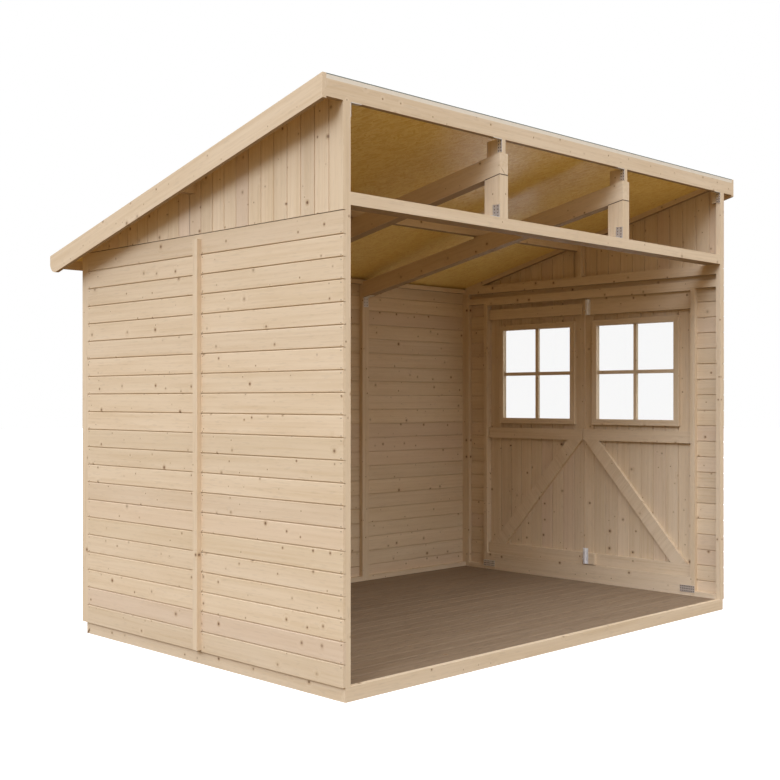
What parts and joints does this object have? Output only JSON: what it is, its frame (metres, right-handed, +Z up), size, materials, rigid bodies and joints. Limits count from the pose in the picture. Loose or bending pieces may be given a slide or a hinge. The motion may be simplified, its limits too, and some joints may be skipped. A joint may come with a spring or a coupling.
{
  "type": "wooden garden shed",
  "caption": "Timber garden shed with a single-pitch roof, open on its tall front, with a framed interior and a glazed, braced double door in one gable",
  "frame": {"origin": "centre of the underside of the base", "axes": "+X along the open front towards the gable with the door, +Y from the open front to the low rear wall, +Z up"},
  "size_m": [3.167, 2.14, 2.4812],
  "materials": {
    "frame_wood": "planed, untreated softwood",
    "board_wood": "planed tongued-and-grooved softwood boards",
    "deck_wood": "planed softwood floor boards",
    "sheet_wood": "pressed strand board",
    "felt": "bitumen roofing felt with a mineral face",
    "glazing": "clear flat glass",
    "zinc": "bright zinc-plated steel"
  },
  "bodies": {
    "shed": {"base_long_rims": "frame_wood", "base_end_rims": "frame_wood", "base_joists": "frame_wood", "front_corner_posts": "frame_wood", "mid_rail": "frame_wood", "short_posts": "frame_wood", "rafters": "frame_wood", "rafter_blocks": "frame_wood", "eaves_beams": "frame_wood", "middle_purlin": "frame_wood", "left_wall_studs": "frame_wood", "left_wall_rails": "frame_wood", "door_wall_studs": "frame_wood", "door_wall_rails": "frame_wood", "door_sill": "frame_wood", "gable_rails": "frame_wood", "gable_studs": "frame_wood", "gable_sloped_rails": "frame_wood", "rear_wall_studs": "frame_wood", "rear_wall_rails": "frame_wood", "left_wall_boards": "board_wood", "door_side_boards": "board_wood", "door_cross_boards": "board_wood", "door_side_casings": "board_wood", "door_head_casing": "board_wood", "gable_boards": "board_wood", "rear_wall_boards": "board_wood", "wall_battens": "board_wood", "corner_trims": "board_wood", "verge_boards": "board_wood", "floor_deck": "deck_wood", "roof_sheathing": "sheet_wood", "roof_felt": "felt", "angle_brackets": "zinc", "post_straps": "zinc", "front_hinge_plates": "zinc", "rear_hinge_plates": "zinc"},
    "front_leaf": {"front_door_boards": "board_wood", "front_door_ledges": "board_wood", "front_door_brace": "board_wood", "front_door_window_trim": "board_wood", "front_door_glass": "glazing", "front_door_hinges": "zinc", "bolt_block": "frame_wood", "tower_bolts": "zinc"},
    "rear_leaf": {"rear_door_boards": "board_wood", "rear_door_ledges": "board_wood", "rear_door_brace": "board_wood", "rear_door_window_trim": "board_wood", "rear_door_glass": "glazing", "rear_door_hinges": "zinc"}
  },
  "joints": [
    {"name": "front_leaf_hinge", "type": "hinge", "parent": "shed", "child": "front_leaf", "pos_m": [1.4935, -0.7925, 1.005], "axis": [0, 0, -1], "range_deg": [0, 160]},
    {"name": "rear_leaf_hinge", "type": "hinge", "parent": "shed", "child": "rear_leaf", "pos_m": [1.4935, 0.7645, 1.005], "axis": [0, 0, 1], "range_deg": [0, 160]}
  ]
}
